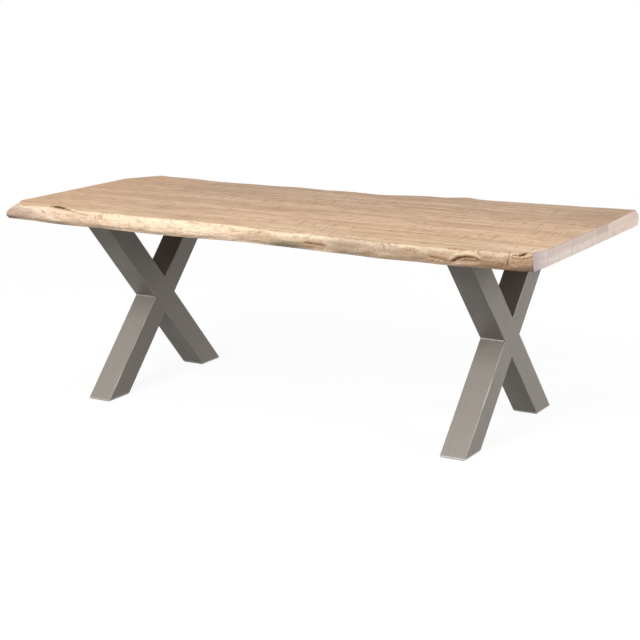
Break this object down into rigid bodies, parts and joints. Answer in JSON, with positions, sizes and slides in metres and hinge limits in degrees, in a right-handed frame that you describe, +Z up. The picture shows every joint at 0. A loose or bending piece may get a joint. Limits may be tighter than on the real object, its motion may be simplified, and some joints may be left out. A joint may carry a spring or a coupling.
{
  "type": "live edge dining table",
  "caption": "Rectangular dining table with a thick live edge board top, rough sawn and matt, on X-shaped legs of square satin steel tube.",
  "frame": {"origin": "on the floor, under the middle of the table top's outline", "axes": "+X along the top to the right, +Y across it to the back, +Z up"},
  "size_m": [2.2, 1.0997, 0.78],
  "materials": {
    "live_edge_wood": "rough sawn, matt oil",
    "leg_steel": "satin, clear coated",
    "plate_steel": "mill finish, clear coated",
    "weld_bead": "bright, dressed",
    "floor_glide": "matt black",
    "bolt_steel": "zinc plated",
    "insert_brass": "as turned"
  },
  "bodies": {
    "root": {"front_live_edge_board": "live_edge_wood", "second_board": "live_edge_wood", "third_board": "live_edge_wood", "fourth_board": "live_edge_wood", "back_live_edge_board": "live_edge_wood", "left_through_tube": "leg_steel", "left_upper_half_tube": "leg_steel", "left_lower_half_tube": "leg_steel", "left_top_plate": "plate_steel", "left_front_foot_plate": "leg_steel", "left_back_foot_plate": "leg_steel", "left_front_foot_glide": "floor_glide", "left_back_foot_glide": "floor_glide", "left_crossing_welds": "weld_bead", "left_bolts": "bolt_steel", "left_washers": "bolt_steel", "left_threaded_inserts": "insert_brass", "right_through_tube": "leg_steel", "right_upper_half_tube": "leg_steel", "right_lower_half_tube": "leg_steel", "right_top_plate": "plate_steel", "right_front_foot_plate": "leg_steel", "right_back_foot_plate": "leg_steel", "right_front_foot_glide": "floor_glide", "right_back_foot_glide": "floor_glide", "right_crossing_welds": "weld_bead", "right_bolts": "bolt_steel", "right_washers": "bolt_steel", "right_threaded_inserts": "insert_brass"}
  },
  "joints": []
}
